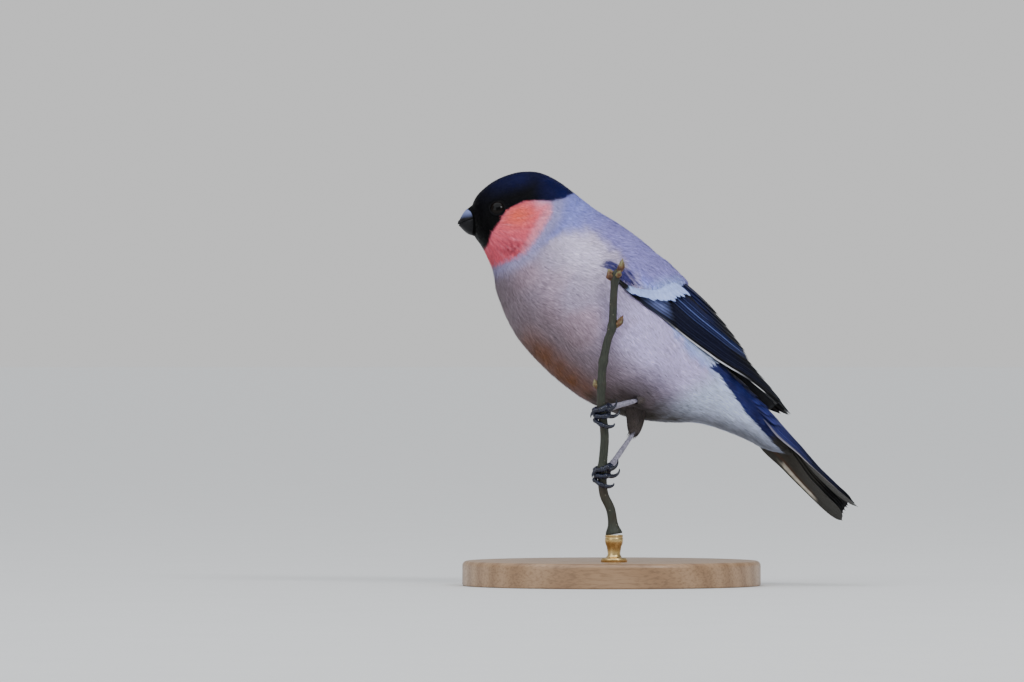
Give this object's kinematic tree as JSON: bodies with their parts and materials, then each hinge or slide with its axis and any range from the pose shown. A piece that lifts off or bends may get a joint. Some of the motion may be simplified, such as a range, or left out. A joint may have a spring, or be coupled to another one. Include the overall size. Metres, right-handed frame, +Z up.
{
  "type": "bullfinch still model on a display stand",
  "caption": "Life-size still model of a male bullfinch that grips a short upright stem, held by a round flat base and a short rod.",
  "frame": {"origin": "centre of the round base's underside", "axes": "+Z up; the bird looks towards -X, with its left side towards -Y"},
  "size_m": [0.1284, 0.096, 0.1332],
  "materials": {
    "black_cap": "glossy blue-black feathers",
    "grey_mantle": "soft blue-grey feathers",
    "rosy_breast": "soft pinkish-grey feathers",
    "white_vent": "loose white feathers",
    "blue_black_flight": "glossy blue-black flight feathers",
    "dark_horn": "dark horn with a soft sheen",
    "dark_eye": "clear and wet",
    "dusky_leg": "dusky scaled skin",
    "green_bark": "smooth green bark",
    "stand_metal": "satin brass",
    "stand_wood": "satin pale wood"
  },
  "bodies": {
    "root": {"head": "black_cap", "eye_left": "dark_eye", "eye_right": "dark_eye", "bill_upper": "dark_horn", "bill_lower": "dark_horn", "neck": "grey_mantle", "torso": "rosy_breast", "rump": "white_vent", "tail": "blue_black_flight", "wing_left": "blue_black_flight", "wing_right": "blue_black_flight", "shin_left": "grey_mantle", "shin_right": "grey_mantle", "tarsus_left": "dusky_leg", "tarsus_right": "dusky_leg", "foot_left": "dusky_leg", "foot_right": "dusky_leg", "stem": "green_bark", "stand_rod": "stand_metal", "stand_base": "stand_wood"}
  },
  "joints": []
}
